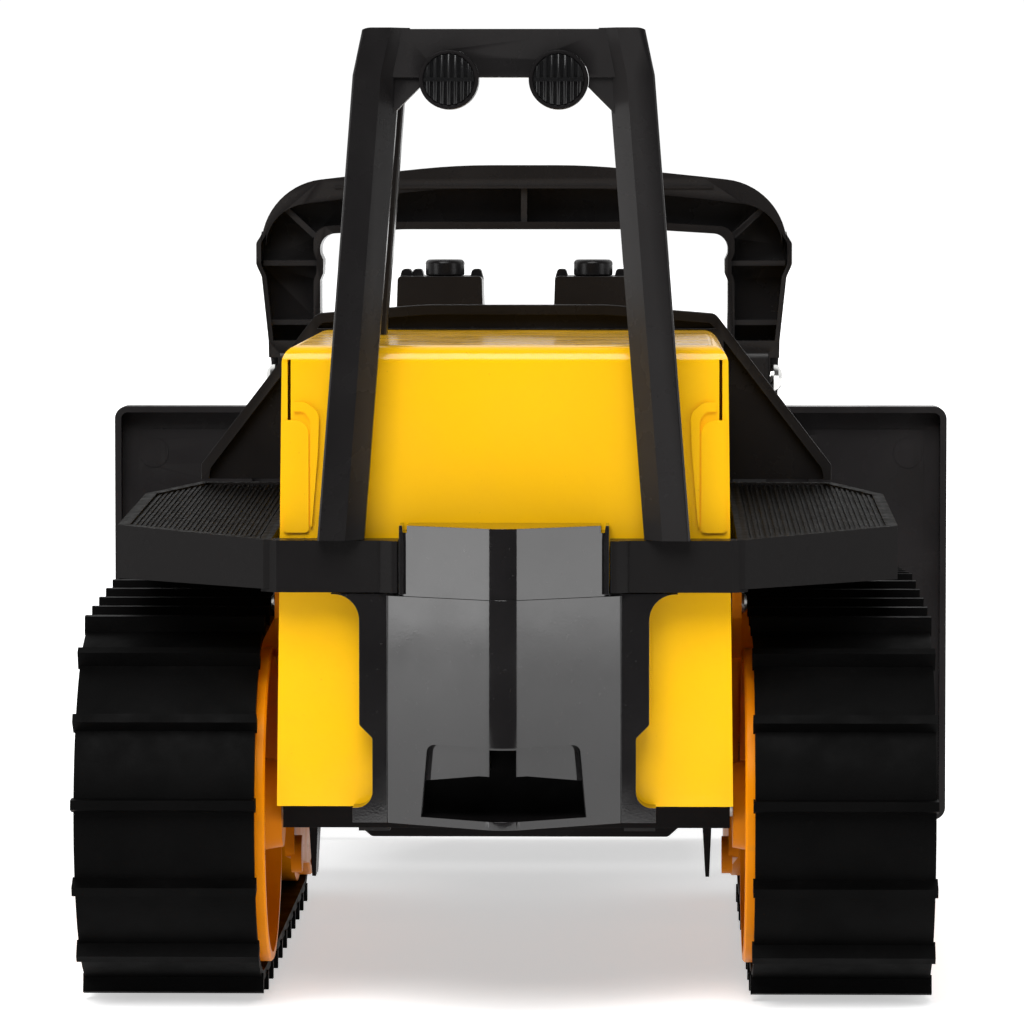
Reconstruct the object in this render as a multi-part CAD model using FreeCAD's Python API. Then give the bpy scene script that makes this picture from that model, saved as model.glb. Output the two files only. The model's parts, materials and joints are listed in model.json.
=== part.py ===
import FreeCAD, Part
import math
import os

# Toy bulldozer, millimetres. +Y is the driving direction, +X its right side, +Z up.
# The origin is on the floor, under the middle of the box round the whole toy. Heights in this file are
# measured from the body's datum, and main() raises every piece by FLOOR_DROP, so that the floor is Z = 0.

# ---- driving dimensions -------------------------------------------------------------------------
GAP = 0.3                    # air between neighbouring pieces
FLOOR_DROP = 2.5             # the floor lies this far under the body's datum
REAR_END = -218.0            # nose of the counterweight
FRONT_END = 218.0            # front of the cutting edge

TRACK_IN, TRACK_OUT = 63.0, 108.4
REAR_AXLE_Y, FRONT_AXLE_Y, AXLE_Z = -150.7, 41.3, 46.8
BELT_INNER_R, BELT_OUTER_R, GROUSER_TIP_R = 42.9, 45.5, 49.3
CARRIER_Y, CARRIER_LIFT, CARRIER_R = -54.7, 4.0, 60.0
GROUSER_COUNT, GROUSER_THICK, GROUSER_OVERHANG, GROUSER_START = 32, 2.4, 0.5, 4.4
WHEEL_R, WHEEL_LIP_R, WHEEL_RIM_IN, WHEEL_RIM_OUT = 42.5, 40.6, 60.6, 107.2
HUB_IN, HUB_OUT, HUB_R = 58.0, 98.0, 11.0
AXLE_R, AXLE_FIT = 3.0, 0.06

PAN_HALF, PAN_Z0, PAN_Z1 = 57.0, 43.0, 46.0
PAN_REAR, PAN_FRONT = -172.0, 142.0
PAN_BORE_R, PAN_BORE_DEEP = 4.6, 1.5

BODY_REAR, BODY_FRONT = -190.0, -40.4
BODY_BOTTOM, BODY_TOP = 50.4, 166.5
BODY_HALF_BOTTOM, BODY_HALF_TOP = 57.5, 56.0
SHEET = 1.5

BULK_Y0, BULK_Y1 = -40.0, -33.2
HOOD_REAR, HOOD_FRONT, HOOD_HALF, HOOD_TOP = -32.8, 72.0, 54.0, 168.0
SHELL_FRONT, SHELL_HALF, SHELL_TOP = 142.0, 60.0, 167.0

FENDER_IN, FENDER_OUT = 58.3, 100.0
FENDER_LOW, FENDER_REAR_Z, FENDER_FRONT_Z = 105.9, 118.2, 124.2
FASCIA_LOW = 105.1
FENDER_REAR, FENDER_SWEEP, FENDER_CHAMFER, FENDER_FRONT = -198.4, -160.0, -70.0, -33.5
FENDER_RIM = 0.8

POST_REAR, POST_FRONT = -205.0, -194.0
CAGE_BASE, CAGE_KINK, CAGE_TOP = 118.3, 234.0, 245.8
POST_OUT_BASE, POST_OUT_KINK, POST_OUT_TOP = 46.5, 37.5, 35.0
FRONT_POST_REAR, FRONT_POST_FRONT = -92.0, -82.0
LAMP_X, LAMP_Z, LAMP_R = 13.6, 232.9, 7.4

PIVOT_Y, PIVOT_Z, PIVOT_R = 92.0, 148.8, 2.5
LEG_IN, LEG_OUT = 60.4, 77.4
HANDLE_TOP, HANDLE_UNDER, HANDLE_DEPTH = 212.0, 193.0, 14.0
ARM_IN, ARM_OUT = 62.4, 72.4

BLADE_HALF, BLADE_BOTTOM, BLADE_TOP, BLADE_BACK = 131.5, 5.0, 136.0, 201.0
BLADE_SKIN, BLADE_PANEL, BLADE_MARK = 3.0, 0.5, 0.25


# ---- small helpers ------------------------------------------------------------------------------
def box(x0, x1, y0, y1, z0, z1):
    """Box between two corners."""
    return Part.makeBox(x1 - x0, y1 - y0, z1 - z0, FreeCAD.Vector(x0, y0, z0))


def cylinder(start, end, radius):
    """Round bar between two points."""
    start, end = FreeCAD.Vector(*start), FreeCAD.Vector(*end)
    return Part.makeCylinder(radius, (end - start).Length, start, end - start)


def place(plane, u, v, w):
    """Point (u, v) of a plane, at height w along its normal."""
    return {"yz": FreeCAD.Vector(w, u, v), "xz": FreeCAD.Vector(u, w, v),
            "xy": FreeCAD.Vector(u, v, w)}[plane]


def outline(plane, points, w):
    """Closed wire through (u, v) or (u, v, corner radius) points."""
    corners = [(place(plane, p[0], p[1], w), p[2] if len(p) > 2 else 0.0) for p in points]
    spans = []
    for i, (here, radius) in enumerate(corners):
        if radius == 0.0:
            spans.append((here, None, here))
            continue
        back = (corners[i - 1][0] - here).normalize()
        ahead = (corners[(i + 1) % len(corners)][0] - here).normalize()
        half = back.getAngle(ahead) / 2
        inward = (back + ahead).normalize()
        run = radius / math.tan(half)
        middle = here + inward * (radius / math.sin(half) - radius)
        spans.append((here + back * run, middle, here + ahead * run))
    edges = []
    for i, (start, middle, end) in enumerate(spans):
        if middle is not None:
            edges.append(Part.Arc(start, middle, end).toShape())
        nxt = spans[(i + 1) % len(spans)][0]
        if (nxt - end).Length > 1e-6:
            edges.append(Part.makeLine(end, nxt))
    return Part.Wire(edges)


def prism(plane, points, w0, w1):
    """Outline in a plane, drawn out along the plane's normal from w0 to w1."""
    face = Part.Face(outline(plane, points, w0))
    return face.extrude(place(plane, 0, 0, w1 - w0))


def mirrored(points):
    """Right half of an outline, bottom to top, closed by its own mirror image."""
    return list(points) + [(-p[0],) + tuple(p[1:]) for p in reversed(points)]


def fuse(shapes):
    """One solid from pieces that touch."""
    return shapes[0].multiFuse(shapes[1:]).removeSplitter()


def left_of(shape):
    """The same piece on the other side of the toy."""
    return shape.mirror(FreeCAD.Vector(0, 0, 0), FreeCAD.Vector(1, 0, 0))


def turned(shape, y, z, degrees):
    """Shape turned about the X direction through (y, z)."""
    copy = shape.copy()
    copy.rotate(FreeCAD.Vector(0, y, z), FreeCAD.Vector(1, 0, 0), degrees)
    return copy


def revolved(profile):
    """Profile of (x, r) points turned round the X axis."""
    points = [FreeCAD.Vector(x, 0, r) for x, r in profile]
    face = Part.Face(Part.makePolygon(points + points[:1]))
    return face.revolve(FreeCAD.Vector(0, 0, 0), FreeCAD.Vector(1, 0, 0), 360)


def moved(shape, x=0.0, y=0.0, z=0.0):
    """Copy of a shape, shifted."""
    copy = shape.copy()
    copy.translate(FreeCAD.Vector(x, y, z))
    return copy


# ---- chassis ------------------------------------------------------------------------------------
def chassis_pan():
    """Moulded floor with a tunnel over each axle and two tapered ribs under it."""
    tunnel_half, tunnel_top, wall = 5.0, 52.3, 3.0
    lower, upper = [], []
    for axle in (REAR_AXLE_Y, FRONT_AXLE_Y):
        lower += [(axle - tunnel_half, PAN_Z0), (axle - tunnel_half, tunnel_top),
                  (axle + tunnel_half, tunnel_top), (axle + tunnel_half, PAN_Z0)]
        upper += [(axle - tunnel_half - wall, PAN_Z1), (axle - tunnel_half - wall, tunnel_top + wall),
                  (axle + tunnel_half + wall, tunnel_top + wall), (axle + tunnel_half + wall, PAN_Z1)]
    ends = [(PAN_FRONT, PAN_Z0), (PAN_FRONT, PAN_Z1)]
    profile = [(PAN_REAR, PAN_Z0)] + lower + ends + upper[::-1] + [(PAN_REAR, PAN_Z1)]
    pieces = [prism("yz", profile, -PAN_HALF, PAN_HALF)]
    hanger = prism("xz", [(50.4, PAN_Z0 + 1), (53.2, PAN_Z0 + 1), (52.5, 24.0), (51.5, 24.0)], -122, -104)
    hanger = hanger.cut(prism("yz", [(-123, 23), (-123, 40), (-116, 23)], 50, 54))
    rim_wall, rim_low, rim_high = 1.6, PAN_Z1 - 0.5, BODY_BOTTOM - GAP
    rim = box(PAN_HALF - rim_wall, PAN_HALF, PAN_REAR, BODY_FRONT, rim_low, rim_high)
    rim = rim.cut(tunnel_notch(REAR_AXLE_Y))
    end = box(-PAN_HALF, PAN_HALF, PAN_REAR, PAN_REAR + rim_wall, rim_low, rim_high)
    pieces += [hanger, left_of(hanger), rim, left_of(rim), end]
    for y in (-60.0, -25.0, 85.0, 115.0):
        pieces.append(box(-PAN_HALF + 6, PAN_HALF - 6, y, y + 2.0, PAN_Z1 - 0.5, PAN_Z1 + 4))
    return fuse(pieces)


def tunnel_notch(axle_y):
    """Room for the pan's axle tunnel in the foot of a cover's side walls."""
    return box(-60, 60, axle_y - 8.3, axle_y + 8.3, 40, 55.6)


def belly_guard():
    """Open-topped tray with chamfered lower corners, under the front half of the pan."""
    half, bottom, y0, y1, wall = 46.5, 19.6, 4.0, 130.0, 2.5
    top = PAN_Z0 - 0.02
    outer = prism("yz", [(y0, bottom + 14), (y0 + 14, bottom), (y1 - 14, bottom), (y1, bottom + 14),
                         (y1, top), (y0, top)], -half, half)
    section = mirrored([(half - 4, bottom), (half, bottom + 4), (half, top)])
    outer = outer.common(prism("xz", section, y0, y1))
    inner = prism("yz", [(y0 + wall, bottom + 15), (y0 + 15, bottom + wall), (y1 - 15, bottom + wall),
                         (y1 - wall, bottom + 15), (y1 - wall, top + 1), (y0 + wall, top + 1)],
                  -half + wall, half - wall)
    inner_section = mirrored([(half - 5, bottom + wall), (half - wall, bottom + 5), (half - wall, top + 1)])
    inner = inner.common(prism("xz", inner_section, y0, y1))
    return outer.cut(inner)


def axle(y):
    """Plain steel rod that carries one pair of wheels."""
    return cylinder((-HUB_OUT - 4.5, y, AXLE_Z), (HUB_OUT + 4.5, y, AXLE_Z), AXLE_R)


def axle_clip(y):
    """Pressed yoke that holds the axle up in its tunnel; one on each side of the pan."""
    shapes = []
    for x in (30.0, -38.0):
        plate = box(x, x + 8, y - 14, y + 14, PAN_Z0 - 1.6, PAN_Z0 - 0.02)
        saddle = box(x, x + 8, y - 4, y + 4, PAN_Z0 - 1.6, AXLE_Z)
        bore = cylinder((x - 1, y, AXLE_Z), (x + 9, y, AXLE_Z), AXLE_R + 0.02)
        shapes.append(plate.fuse(saddle).cut(bore).removeSplitter())
    return shapes


def axle_caps(y):
    """Domed push-on caps on both ends of an axle."""
    profile = [(HUB_OUT + 0.4, AXLE_R + 0.01), (HUB_OUT + 0.4, 6.5), (HUB_OUT + 3.0, 6.2),
               (HUB_OUT + 4.9, 4.6), (HUB_OUT + 5.6, 2.4), (HUB_OUT + 5.8, 0.0), (HUB_OUT + 4.52, 0.0),
               (HUB_OUT + 4.52, AXLE_R + 0.01)]
    cap = moved(revolved(profile), 0, y, AXLE_Z)
    return [cap, left_of(cap)]


# ---- wheels, belts and track frames -------------------------------------------------------------
def wheel(y):
    """Dished plastic wheel, open on the inner side, with a long hub."""
    bore = AXLE_R + AXLE_FIT
    rim_r, dish_r, soft, tread_in, tread_out = WHEEL_LIP_R - 2.4, WHEEL_LIP_R - 3.4, 0.5, 64.4, 105.8
    profile = [(HUB_IN, bore), (HUB_IN, HUB_R), (66.0, HUB_R + 1.5), (71.0, 16.0), (75.5, 24.0),
               (83.0, 32.0), (85.0, dish_r), (WHEEL_RIM_IN, rim_r), (WHEEL_RIM_IN, WHEEL_LIP_R - soft),
               (WHEEL_RIM_IN + soft, WHEEL_LIP_R), (tread_in, WHEEL_LIP_R), (tread_in + soft, WHEEL_R),
               (tread_out - soft, WHEEL_R), (tread_out, WHEEL_LIP_R), (WHEEL_RIM_OUT - soft, WHEEL_LIP_R),
               (WHEEL_RIM_OUT, WHEEL_LIP_R - soft), (WHEEL_RIM_OUT, rim_r), (90.0, dish_r), (87.5, 32.0),
               (80.0, 24.0), (80.0, 16.0), (82.0, HUB_R), (HUB_OUT, HUB_R - 1.0), (HUB_OUT, bore)]
    body = revolved(profile)
    rib = prism("xz", [(79.0, 8.0), (96.0, 8.0), (90.0, 20.0), (88.5, rim_r + 0.4), (84.0, rim_r + 0.4)],
                -1.25, 1.25)
    rib = rib.cut(cylinder((70, 0, 0), (100, 0, 0), bore))
    ribs = []
    for i in range(6):
        ribs.append(turned(rib, 0, 0, 60 * i))
    return moved(fuse([body] + ribs), 0, y, AXLE_Z)


def belt_path(radius):
    """Tangent runs and arcs round both wheels and over the carrier, for one radius on the wheels."""
    top_r = radius - BELT_INNER_R + CARRIER_R
    crown_z = AXLE_Z + BELT_INNER_R + CARRIER_LIFT - CARRIER_R
    spans = []
    for start, end, r_start, r_end in (
            ((FRONT_AXLE_Y, AXLE_Z), (CARRIER_Y, crown_z), radius, top_r),
            ((CARRIER_Y, crown_z), (REAR_AXLE_Y, AXLE_Z), top_r, radius)):
        dy, dz = end[0] - start[0], end[1] - start[1]
        length = math.hypot(dy, dz)
        heading = math.atan2(dz, dy)
        swing = math.asin((r_end - r_start) / length)
        normal = (heading - math.pi / 2 - swing) % (2 * math.pi)
        spans.append((start, r_start, end, r_end, normal))
    return spans


def belt_nodes(radius):
    """Arc centres with radius and start and end angle, counter-clockwise seen from +X."""
    (front, r_f, crown, r_c, n1), (_, _, rear, r_r, n2) = belt_path(radius)
    return [(front, r_f, -math.pi / 2, n1), (crown, r_c, n1, n2), (rear, r_r, n2, 3 * math.pi / 2)]


def on_circle(centre, radius, angle):
    """Point of a circle in the YZ plane."""
    return centre[0] + radius * math.cos(angle), centre[1] + radius * math.sin(angle)


def belt_wire(radius, x):
    """Closed loop of the belt at one radius."""
    arcs = belt_nodes(radius)
    edges = []
    for i, (centre, r, a0, a1) in enumerate(arcs):
        ends = [FreeCAD.Vector(x, *on_circle(centre, r, a)) for a in (a0, (a0 + a1) / 2, a1)]
        edges.append(Part.Arc(*ends).toShape())
        following = arcs[(i + 1) % len(arcs)]
        edges.append(Part.makeLine(ends[2], FreeCAD.Vector(x, *on_circle(following[0], following[1],
                                                                          following[2]))))
    return Part.Wire(edges)


def belt_stations(radius, count, offset):
    """Evenly spaced (y, z, outward angle) places round the loop."""
    arcs = belt_nodes(radius)
    legs = []
    for i, (centre, r, a0, a1) in enumerate(arcs):
        legs.append(("arc", r * (a1 - a0), centre, r, a0, a1))
        following = arcs[(i + 1) % len(arcs)]
        p, q = on_circle(centre, r, a1), on_circle(following[0], following[1], following[2])
        legs.append(("run", math.dist(p, q), p, q, a1, a1))
    total = sum(leg[1] for leg in legs)
    places = []
    for i in range(count):
        s = (offset + i * total / count) % total
        for kind, length, first, second, a0, a1 in legs:
            if s <= length:
                f = s / length
                if kind == "arc":
                    angle = a0 + (a1 - a0) * f
                    places.append(on_circle(first, second, angle) + (angle,))
                else:
                    places.append((first[0] + (second[0] - first[0]) * f,
                                   first[1] + (second[1] - first[1]) * f, a0))
                break
            s -= length
    return places


def track():
    """Rubber belt with cross bars, lying loosely round its two wheels."""
    outer = Part.Face(belt_wire(BELT_OUTER_R, TRACK_IN))
    inner = Part.Face(belt_wire(BELT_INNER_R, TRACK_IN))
    pieces = [outer.cut(inner).extrude(FreeCAD.Vector(TRACK_OUT - TRACK_IN, 0, 0))]
    height = GROUSER_TIP_R - BELT_OUTER_R
    root_half, tip_half, sunk = GROUSER_THICK / 2 + 0.6, GROUSER_THICK / 2, 1.0
    bar = prism("yz", [(-root_half, -sunk), (root_half, -sunk), (tip_half, height), (-tip_half, height)],
                TRACK_IN - GROUSER_OVERHANG, TRACK_OUT + GROUSER_OVERHANG)
    for y, z, angle in belt_stations(BELT_OUTER_R, GROUSER_COUNT, GROUSER_START):
        pieces.append(moved(turned(bar, 0, 0, math.degrees(angle) - 90), 0, y, z))
    return fuse(pieces)


def track_frame():
    """Two plates joined by a bank of moulded rollers, with a guard strip along the body."""
    plate_in, plate_out, thick = 57.8, 97.0, 2.5
    roller_r, roller_pitch = 8.0, 24.0
    belt_low = AXLE_Z - BELT_INNER_R
    roller_z = belt_low + roller_r + 0.3
    carrier_z = AXLE_Z + BELT_INNER_R + CARRIER_LIFT - roller_r - 0.4
    rear, front = REAR_AXLE_Y + 45.0, FRONT_AXLE_Y - 45.0
    tooth_low, tooth_high, top = 15.5, 19.0, 84.0
    steps = []
    y = rear + 3.0
    while y < front - 10.0:
        steps += [(y, tooth_low), (y + 6.0, tooth_low), (y + 6.0, tooth_high), (y + 10.0, tooth_high)]
        y += 12.0
    sides = [(front, 66.0), (front - 12, top, 4), (rear + 12, top, 4), (rear, 66.0)]
    web = [(rear, 30.0)] + steps + [(front, tooth_high)] + sides
    inner_web = [(rear, 28.0, 3), (front - 26, 17.5, 6), (front, tooth_high)] + sides
    pieces = [prism("yz", inner_web, plate_in, plate_in + thick),
              prism("yz", web, plate_out, plate_out + thick)]
    pieces.append(cylinder((plate_in - 1.8, rear + 6, 28.0), (plate_in + 1, rear + 6, 28.0), 5.0))
    outer_end, flange = plate_out + thick + 3.0, 1.6
    for i in range(4):
        y = CARRIER_Y + (i - 1.5) * roller_pitch
        pieces.append(cylinder((plate_in + 9, y, roller_z), (outer_end, y, roller_z), roller_r - 1.2))
        for x in (plate_in + 9, plate_out - 4, outer_end - flange):
            pieces.append(cylinder((x, y, roller_z), (x + flange, y, roller_z), roller_r))
    pieces.append(cylinder((plate_in, CARRIER_Y, carrier_z), (outer_end, CARRIER_Y, carrier_z), roller_r))
    pieces.append(box(plate_in, plate_out + thick, rear + 8, front - 8, 38.0, 52.0))
    panel = [(rear + 7, 32.0, 3), (front - 7, 32.0, 3), (front - 7, 62.0, 3), (front - 16, 76.0, 3),
             (rear + 16, 76.0, 3), (rear + 7, 62.0, 3)]
    raised = prism("yz", panel, plate_out + thick - 0.5, plate_out + thick + 1.2)
    panel_in = outline("yz", panel, plate_out + thick + 0.2).makeOffset2D(-3.0)
    sunk = Part.Face(panel_in).extrude(FreeCAD.Vector(3, 0, 0))
    pieces.append(raised.cut(sunk))
    pieces.append(prism("yz", [(-150, 95), (-140, top), (front, top), (front, 105.5), (-150, 105.5)],
                        plate_in, plate_in + thick))
    pieces.append(box(plate_in, plate_in + thick, rear + 14, front - 14, top - 4.0, top + 6.0))
    holes = [cylinder((50, y, z), (70, y, z), 1.32) for y, z in frame_screw_places()]
    return fuse(pieces).cut(holes)


# ---- rear body, counterweight and fenders -------------------------------------------------------
def body_block(inset):
    """Solid of the rear body, pulled in all round by an inset; its rear and top edges are round."""
    low, high = BODY_HALF_BOTTOM - inset, BODY_HALF_TOP - inset
    section = mirrored([(low, BODY_BOTTOM), (high, BODY_TOP - inset, 4.5 - inset)])
    block = prism("xz", section, BODY_REAR + inset, BODY_FRONT)
    fold = prism("yz", [(BODY_REAR + inset, BODY_BOTTOM), (BODY_REAR + inset, BODY_TOP - inset, 4.5 - inset),
                        (BODY_FRONT, BODY_TOP - inset), (BODY_FRONT, BODY_BOTTOM)], -60, 60)
    return block.common(fold)


def rear_body_shell():
    """Pressed steel cover, open below and in front, with folded corner tabs on its rear face."""
    core = body_block(SHEET)
    core = core.fuse([box(-55, 55, BODY_REAR + SHEET, BODY_FRONT, BODY_BOTTOM - 1, BODY_BOTTOM + 1),
                      moved(core, 0, 2, 0)])
    shell = body_block(0.0).cut(core)
    tab = prism("xz", [(49.3, 119.5, 1), (55.6, 119.5, 1), (55.6, 147.8), (49.3, 147.8, 3.5)],
                BODY_REAR - 0.8, BODY_REAR + 0.5)
    lip = prism("xz", [(48.5, 121.0), (48.9, 121.0), (48.9, 147.8, 2.2), (50.5, 150.0, 1.5), (53.0, 150.0),
                       (53.0, 152.4), (50.0, 152.4, 3), (46.6, 149.5, 3), (46.9, 140.0, 20)],
                BODY_REAR - 1.0, BODY_REAR + 0.5)
    shell = fuse([shell, tab, left_of(tab), lip, left_of(lip)])
    slit = box(53.8, 54.6, BODY_REAR - 2, BODY_REAR + SHEET + 0.5, 147.8, 163.0)
    holes = [cylinder((-70, y, z), (70, y, z), 1.32) for y, z in frame_screw_places()]
    return shell.cut([slit, left_of(slit), tunnel_notch(REAR_AXLE_Y)] + holes)


def prow(half, inset, back, z0, z1):
    """Wedge seen from above: a rounded nose with flat flanks, pulled in by an inset."""
    flank_half, flank_y, nose_r = 29.0, -200.0, 7.5
    lean = math.atan2(flank_half, flank_y - REAR_END)
    for _ in range(20):
        apex = REAR_END - nose_r * (1 / math.sin(lean) - 1)
        lean = math.atan2(flank_half, flank_y - apex)
    apex += inset / math.sin(lean)
    side = half - inset
    side_y = apex + side / math.tan(lean)
    plan = [(side, back), (side, side_y, 1.5), (0, apex, nose_r), (-side, side_y, 1.5), (-side, back)]
    return prism("xy", plan, z0, z1)


def counterweight():
    """Glossy moulded prow with side flanges and a stepped tow recess."""
    back, seam, top, low = BODY_REAR - GAP, 104.3, 122.0, 47.3
    lower = prow(29.5, 0.0, back, low, seam)
    upper = prow(26.2, 0.6, back, seam - 1.0, top)
    notch = box(24.2, 27, -225, back, top - 1.8, top + 1)
    upper = upper.cut([notch, left_of(notch)])
    ledge = FASCIA_LOW - GAP
    foot = BODY_BOTTOM + 0.6
    flange = prism("xz", [(25, low), (38, low), (38, foot), (33, foot, 4), (33, 68.5, 1), (36.3, 71.8, 1),
                          (36.3, ledge - 0.2, 6.5), (43.4, ledge - 0.2), (43.4, ledge), (25, ledge)],
                   -199.4, back)
    shoulder = prism("xz", [(25, ledge), (26.2, ledge), (26.2, top), (25.4, top), (25, top - 4)],
                     -202.6, back)
    solid = fuse([lower, upper, flange, left_of(flange), shoulder, left_of(shoulder)])
    solid = solid.cut(prow(29.5, 2.6, back + 5, 71.5, seam - 3.6))
    lip_top, roof, step = 49.4, 67.6, 59.4
    recess = prism("xz", mirrored([(20.6, lip_top), (19.0, roof, 2.0)]), -225, back - 2)
    shallow = recess.cut(prow(29.5, 1.4, back, low, seam))
    mouth = mirrored([(20.4, lip_top), (19.6, step - 1), (6, step + 1)])
    deep = prism("xz", mouth, -225, -192.8)
    slot = box(-3.3, 3.3, -225, -194, lip_top, roof - 0.6)
    return solid.cut([shallow, deep, slot])


def deck_height(y):
    """Height of the fender deck, which climbs gently towards the front."""
    share = (y - FENDER_REAR) / (FENDER_FRONT - FENDER_REAR)
    return FENDER_REAR_Z - FENDER_RIM + (FENDER_FRONT_Z - FENDER_REAR_Z) * share


def fender_block(inset, low, drop):
    """Fender plan pulled in by an inset, from a flat bottom up to the deck less a drop."""
    plan = outline("xy", [(FENDER_IN, FENDER_FRONT), (FENDER_IN, FENDER_REAR), (FENDER_IN + 2, FENDER_REAR),
                          (FENDER_OUT, FENDER_SWEEP), (FENDER_OUT, FENDER_CHAMFER), (87.5, FENDER_FRONT)], 90)
    if inset:
        plan = plan.makeOffset2D(-inset)
    column = Part.Face(plan).extrude(FreeCAD.Vector(0, 0, 60))
    y0, y1 = FENDER_REAR - 5, FENDER_FRONT + 5
    wedge = prism("yz", [(y0, low), (y1, low), (y1, deck_height(y1) - drop), (y0, deck_height(y0) - drop)],
                  50, 110)
    return column.common(wedge)


def fender():
    """Moulded fender: a hollow tray upside down, ribbed deck, raised rim, and its half of the rear fascia."""
    wall, rim_width, rib_pitch, rib_half, rib_high = 2.5, 3.0, 1.3, 0.33, 0.4
    solid = fender_block(0.0, FENDER_LOW, -FENDER_RIM).cut(fender_block(wall, FENDER_LOW - 5, 2.6))
    pocket = fender_block(rim_width, FENDER_LOW + 10, -5.0).cut(fender_block(0.0, FENDER_LOW, 0.0))
    solid = solid.cut(pocket)
    ribs = []
    x = FENDER_IN + rim_width + 0.9
    ridge = fender_block(rim_width - 0.2, FENDER_LOW + 8, -rib_high)
    while x < FENDER_OUT - rim_width - 0.6:
        ribs.append(ridge.common(box(x - rib_half, x + rib_half, -200, 0, 100, 140)))
        x += rib_pitch
    top = FENDER_REAR_Z - 0.1
    fascia = prism("xy", [(26.5, -200), (57.0, -200, 0.4), (58.8, FENDER_REAR, 0.4), (61, -196.6), (61, -192.5),
                          (58.3, BODY_REAR - GAP), (26.5, BODY_REAR - GAP)], FASCIA_LOW, top)
    cheek = prism("xy", [(26.5, -202.4, 0.5), (28.0, -202.4, 1.2), (31.5, -200.2, 2), (31.5, -199),
                         (26.5, -199)], FASCIA_LOW, top)
    ramp = prism("xz", [(26.5, top - 1), (31.5, top - 1), (31.5, top, 2.5), (28.6, top + 0.4, 2),
                        (27.4, top + 3.4, 0.5), (26.5, top + 3.4)], -202.2, BODY_REAR - GAP)
    return fuse([solid] + ribs + [fascia, cheek, ramp])


def fender_bracket():
    """Steel angle that carries a fender from the side of the body."""
    shapes = []
    for y in (-175.0, -120.0, -60.0):
        angle = box(FENDER_IN + 3.2, FENDER_IN + 4.4, y, y + 9, FENDER_LOW + 1.2, 113.0)
        angle = angle.fuse(box(FENDER_IN + 3.2, FENDER_IN + 12.0, y, y + 9, 112.0, 113.4))
        shapes.append(angle.removeSplitter())
    return shapes


# ---- bulkhead, hood and front shell -------------------------------------------------------------
def cowl_bulkhead():
    """Cross wall with swept wings over the fenders and a raised rim round its rear face."""
    wing_z = FENDER_FRONT_Z + 1.0
    half = [(57.0, 47.3), (57.0, wing_z), (87.0, wing_z), (87.0, 129.4), (55.0, 171.0, 3), (25.0, 173.4, 60)]
    wall = prism("xz", mirrored(half), BULK_Y0, BULK_Y1)
    inner_half = [(90.0, 100.0), (84.3, 128.4), (53.6, 168.4, 2), (24.5, 170.7, 60)]
    hollow = prism("xz", mirrored(inner_half), BULK_Y0 - 1, BULK_Y0 + 3.2)
    hollow = hollow.cut(box(-57.2, 57.2, -50, -30, 40, BODY_TOP + 0.4))
    return wall.cut(hollow)


def engine_hood():
    """Pressed steel hood over the engine bay, with a row of louvre slots in each side."""
    section = mirrored([(HOOD_HALF, 47.3), (HOOD_HALF, HOOD_TOP, 7)])
    inner = mirrored([(HOOD_HALF - SHEET, 40.0), (HOOD_HALF - SHEET, HOOD_TOP - SHEET, 5.5)])
    hood = prism("xz", section, HOOD_REAR, HOOD_FRONT).cut(prism("xz", inner, HOOD_REAR - 1, HOOD_FRONT + 1))
    slots = []
    for i in range(7):
        y = HOOD_REAR + 18.0 + 12.0 * i
        slot = prism("yz", [(y, 118, 1.5), (y + 4, 118, 1.5), (y + 4, 150, 1.5), (y, 150, 1.5)], -60, 60)
        slots.append(slot)
    return hood.cut(slots + [tunnel_notch(FRONT_AXLE_Y)])


def front_shell():
    """Black moulded nose that holds the grille and the handle pivots, with a bolted flange at its foot."""
    wall = 3.0
    y0, y1 = HOOD_FRONT + GAP, SHELL_FRONT
    section = mirrored([(SHELL_HALF, 47.3), (SHELL_HALF, SHELL_TOP, 8)])
    inner = mirrored([(SHELL_HALF - wall, 40.0), (SHELL_HALF - wall, SHELL_TOP - wall, 5.5)])
    shell = prism("xz", section, y0, y1).cut(prism("xz", inner, y0 + wall, y1 - wall))
    mouth = prism("xz", mirrored([(HOOD_HALF - 6, 40.0), (HOOD_HALF - 6, HOOD_TOP - 9, 4)]),
                  y0 - 1, y0 + wall + 1)
    front = prism("xz", [(-48, 60, 4), (48, 60, 4), (48, 154, 4), (-48, 154, 4)], y1 - wall - 1, y1 + 1)
    foot = box(-SHELL_HALF + wall + 1, SHELL_HALF - wall - 1, y0 - 5, y1 + 5, 40, 47.6)
    inner_half = PAN_HALF + GAP
    ledge = box(-SHELL_HALF, SHELL_HALF, y0, y1, 46.2, 47.4)
    ledge = ledge.cut(box(-inner_half, inner_half, y0 - 1, y1 + 1, 40, 50))
    boss = cylinder((SHELL_HALF - 12, PIVOT_Y, PIVOT_Z), (SHELL_HALF - 1, PIVOT_Y, PIVOT_Z), 6.0)
    shell = fuse([shell.cut([mouth, front, foot]), ledge, boss, left_of(boss)])
    bore = cylinder((-70, PIVOT_Y, PIVOT_Z), (70, PIVOT_Y, PIVOT_Z), PIVOT_R + 0.02)
    return shell.cut(bore)


def grille():
    """Radiator grille: a frame with upright bars, set in the mouth of the front shell."""
    y0, y1 = SHELL_FRONT - 4.0, SHELL_FRONT - 0.5
    frame = prism("xz", [(-47.7, 60.3, 4), (47.7, 60.3, 4), (47.7, 153.7, 4), (-47.7, 153.7, 4)], y0, y1)
    pieces = [frame.cut(box(-43, 43, y0 - 1, y1 + 1, 65, 149))]
    for i in range(13):
        x = -36.0 + 6.0 * i
        pieces.append(box(x - 1.2, x + 1.2, y0 + 0.5, y1 - 0.5, 64, 150))
    pieces.append(box(-44, 44, y0, y1 - 1.2, 105, 109))
    return fuse(pieces)


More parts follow.
